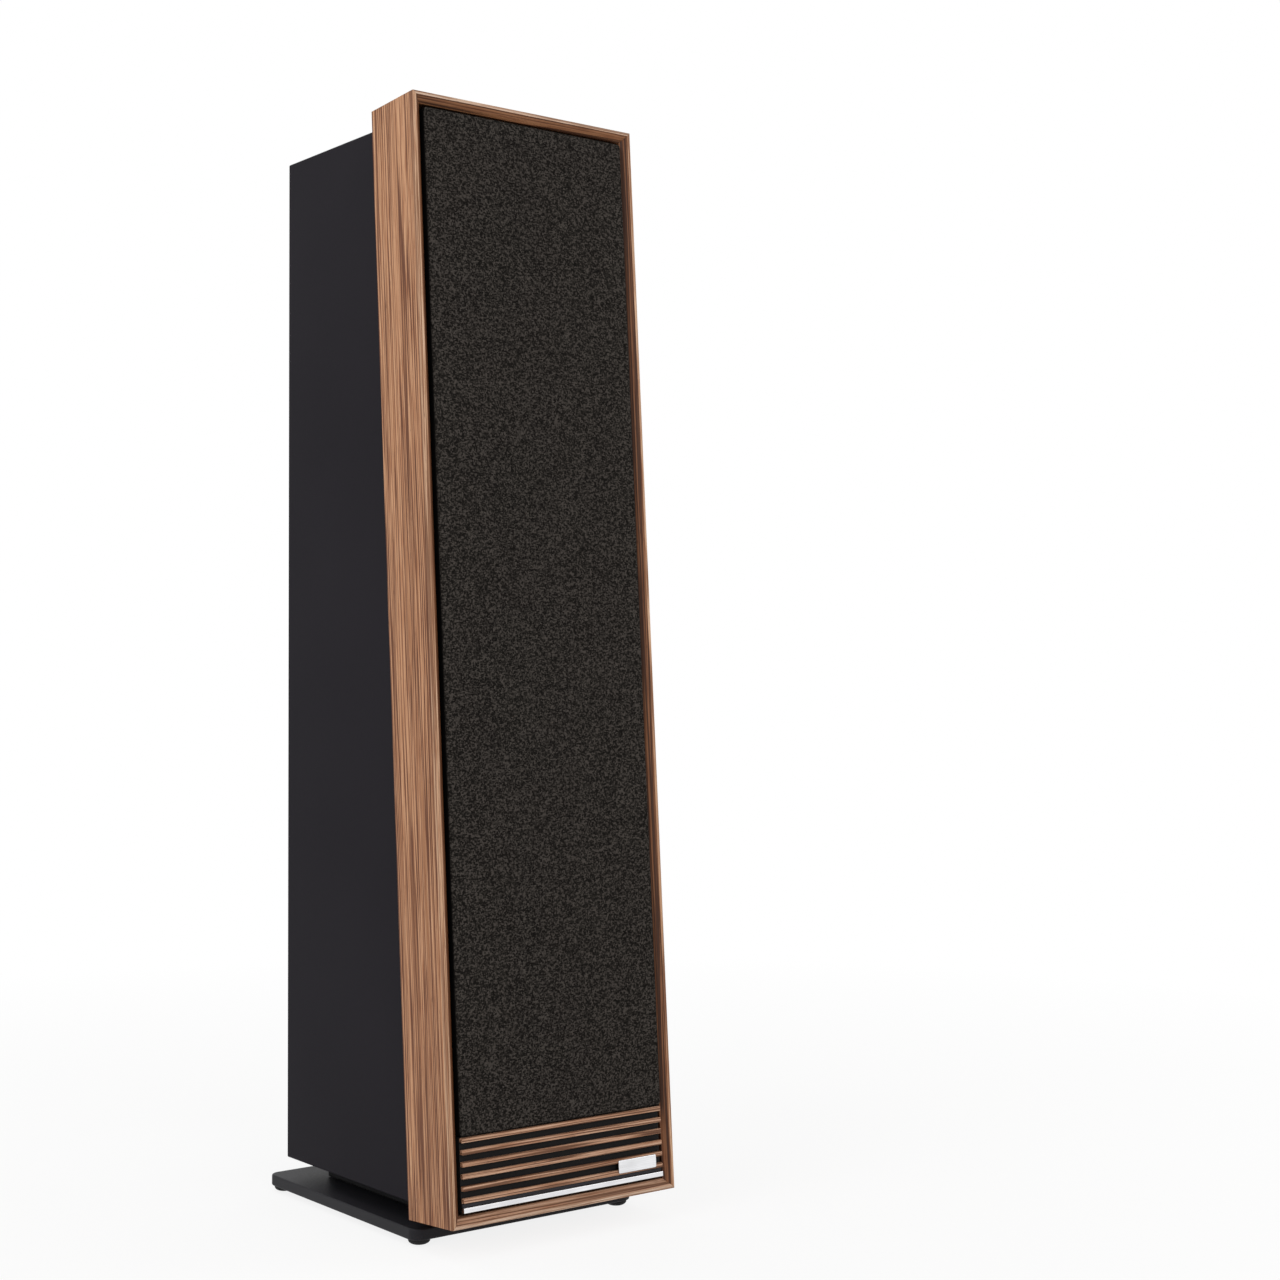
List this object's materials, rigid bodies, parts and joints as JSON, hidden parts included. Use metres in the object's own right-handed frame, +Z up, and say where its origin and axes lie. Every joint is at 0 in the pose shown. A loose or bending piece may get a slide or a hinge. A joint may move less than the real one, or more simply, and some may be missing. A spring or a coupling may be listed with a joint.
{
  "type": "floorstanding speaker",
  "caption": "Slim floorstanding loudspeaker: dark cabinet, leaning walnut-framed front with a pull-off cloth grille, cone drivers behind it, rear port and binding posts, on a footed base plate.",
  "frame": {"origin": "on the floor under the feet, at the middle of the width and of the whole depth", "axes": "+Z up along the height, -Y towards the front that the grille faces, +X to the right seen from the front"},
  "size_m": [0.2204, 0.3, 0.925],
  "materials": {
    "walnut": "walnut veneer, satin",
    "cabinet_lacquer": "charcoal satin lacquer on fibreboard",
    "black_board": "black stained fibreboard",
    "base_coat": "black powder coat",
    "riser_coat": "black paint on fibreboard",
    "foot_rubber": "moulded black rubber",
    "grille_cloth": "charcoal heather weave",
    "trim_aluminium": "satin anodised",
    "driver_basket": "black coated casting",
    "driver_motor": "zinc plated steel and ferrite",
    "driver_spider": "resin treated cotton",
    "voice_coil": "copper winding on a former",
    "driver_cone": "doped paper",
    "driver_roll": "moulded rubber",
    "tweeter_silk": "coated silk",
    "black_plastic": "moulded, fine texture",
    "red_plastic": "moulded red",
    "plated_brass": "gold plated",
    "circuit_board": "solder mask",
    "wire_sleeve": "insulating sleeve"
  },
  "bodies": {
    "cabinet": {"base_plate": "base_coat", "riser": "riser_coat", "foot_front_left": "foot_rubber", "foot_front_right": "foot_rubber", "foot_rear_left": "foot_rubber", "foot_rear_right": "foot_rubber", "cabinet_left_side": "cabinet_lacquer", "cabinet_right_side": "cabinet_lacquer", "cabinet_top": "cabinet_lacquer", "cabinet_bottom": "cabinet_lacquer", "cabinet_rear": "cabinet_lacquer", "cabinet_brace": "black_board", "surround_left": "walnut", "surround_right": "walnut", "surround_top": "walnut", "surround_bottom": "walnut", "front_baffle": "black_board", "woofer_upper_basket": "driver_basket", "woofer_upper_motor": "driver_motor", "woofer_upper_spider": "driver_spider", "woofer_upper_roll": "driver_roll", "woofer_lower_basket": "driver_basket", "woofer_lower_motor": "driver_motor", "woofer_lower_spider": "driver_spider", "woofer_lower_roll": "driver_roll", "tweeter_faceplate": "black_plastic", "tweeter_motor": "driver_motor", "port_tube": "black_plastic", "terminal_plate": "black_plastic", "terminal_post_red": "plated_brass", "terminal_post_black": "plated_brass", "crossover_board": "circuit_board", "wire_woofer_upper": "wire_sleeve", "wire_woofer_lower": "wire_sleeve", "wire_tweeter": "wire_sleeve"},
    "grille": {"grille_rail_left": "black_board", "grille_rail_right": "black_board", "grille_rail_top": "black_board", "grille_crossbar": "black_board", "grille_backing_board": "black_board", "grille_cloth": "grille_cloth", "grille_slat_1": "walnut", "grille_slat_2": "walnut", "grille_slat_3": "walnut", "grille_slat_4": "walnut", "grille_slat_5": "walnut", "grille_slat_6": "walnut", "trim_strip": "trim_aluminium", "badge_plate": "trim_aluminium"},
    "woofer_upper_diaphragm": {"woofer_upper_cone": "driver_cone", "woofer_upper_dust_cap": "driver_cone", "woofer_upper_voice_coil": "voice_coil"},
    "woofer_lower_diaphragm": {"woofer_lower_cone": "driver_cone", "woofer_lower_dust_cap": "driver_cone", "woofer_lower_voice_coil": "voice_coil"},
    "tweeter_diaphragm": {"tweeter_dome": "tweeter_silk"},
    "red_clamp": {"terminal_washer_red": "plated_brass"},
    "red_knob": {"terminal_knob_red": "red_plastic"},
    "black_clamp": {"terminal_washer_black": "plated_brass"},
    "black_knob": {"terminal_knob_black": "black_plastic"}
  },
  "joints": [
    {"name": "grille_pull", "type": "slide", "parent": "cabinet", "child": "grille", "axis": [0, -0.9978, 0.066], "range_m": [0, 0.15]},
    {"name": "woofer_upper_excursion", "type": "slide", "parent": "cabinet", "child": "woofer_upper_diaphragm", "axis": [0, -0.9978, 0.066], "range_m": [-0.005, 0.005], "stiffness_N_per_m": 1000, "deforming": ["woofer_upper_roll", "woofer_upper_spider"]},
    {"name": "woofer_lower_excursion", "type": "slide", "parent": "cabinet", "child": "woofer_lower_diaphragm", "axis": [0, -0.9978, 0.066], "range_m": [-0.005, 0.005], "stiffness_N_per_m": 1000, "deforming": ["woofer_lower_roll", "woofer_lower_spider"]},
    {"name": "tweeter_excursion", "type": "slide", "parent": "cabinet", "child": "tweeter_diaphragm", "axis": [0, -0.9978, 0.066], "range_m": [-0.0005, 0.0005], "stiffness_N_per_m": 2000},
    {"name": "red_clamp_travel", "type": "slide", "parent": "cabinet", "child": "red_clamp", "axis": [0, 1, 0], "range_m": [0, 0.0021]},
    {"name": "red_knob_turn", "type": "hinge", "parent": "red_clamp", "child": "red_knob", "pos_m": [0.019, 0.145, 0.15], "axis": [0, 1, 0], "range_deg": [0, 1080]},
    {"name": "black_clamp_travel", "type": "slide", "parent": "cabinet", "child": "black_clamp", "axis": [0, 1, 0], "range_m": [0, 0.0021]},
    {"name": "black_knob_turn", "type": "hinge", "parent": "black_clamp", "child": "black_knob", "pos_m": [-0.019, 0.145, 0.15], "axis": [0, 1, 0], "range_deg": [0, 1080]}
  ],
  "couplings": [
    {"joint": "red_knob_turn", "follows": "red_clamp_travel", "rad_per_m": 8975.9},
    {"joint": "black_knob_turn", "follows": "black_clamp_travel", "rad_per_m": 8975.9}
  ]
}
